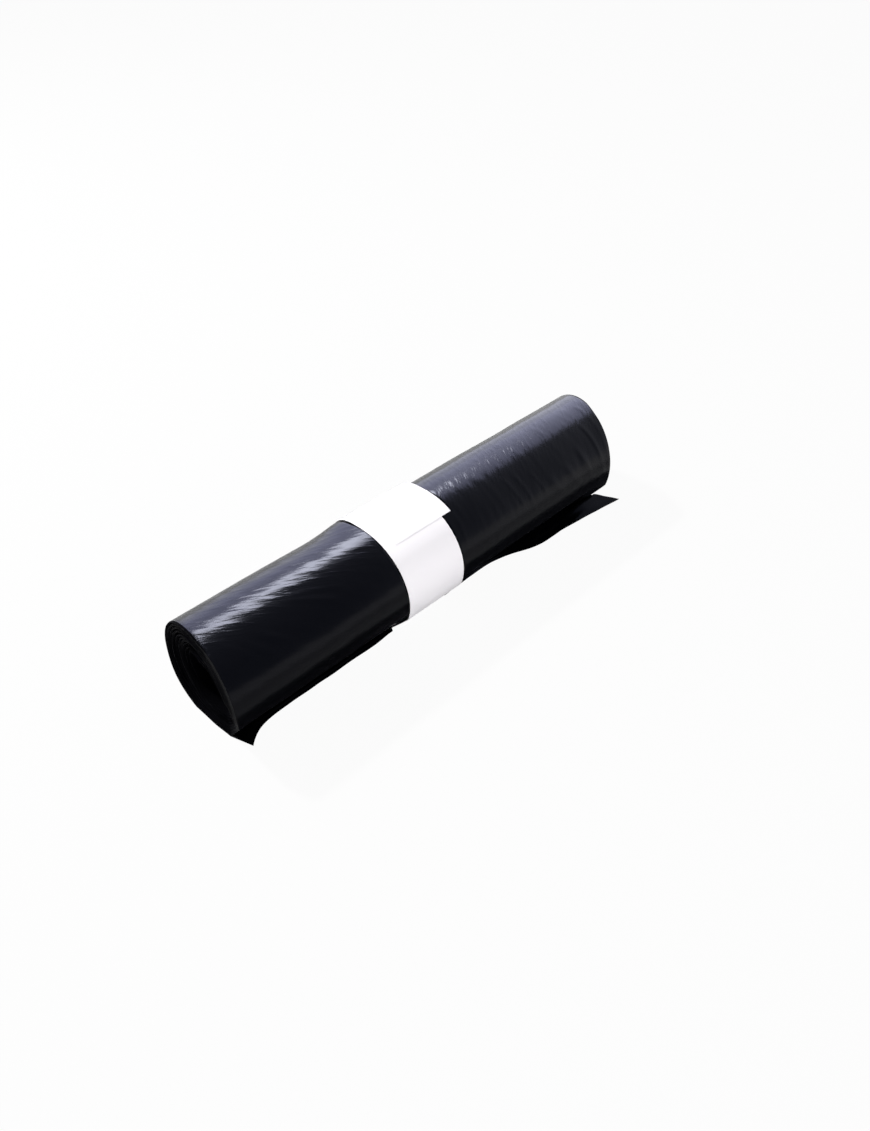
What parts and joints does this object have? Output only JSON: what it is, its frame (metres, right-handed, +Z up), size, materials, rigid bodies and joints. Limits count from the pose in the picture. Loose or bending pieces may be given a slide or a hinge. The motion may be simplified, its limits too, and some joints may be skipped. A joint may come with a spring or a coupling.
{
  "type": "bin bag roll",
  "caption": "Coreless roll of black plastic bin bags, lying on its side with the film's free end on the floor, held by a white paper band.",
  "frame": {"origin": "under the middle of the object, on the floor", "axes": "+X along the roll from its near end to its far end, -Y towards the film's free end, +Z up"},
  "size_m": [0.2461, 0.0526, 0.0502],
  "materials": {
    "film": "glossy, finely creased",
    "paper": "matt"
  },
  "bodies": {
    "root": {"bag_roll": "film", "paper_band": "paper"}
  },
  "joints": []
}
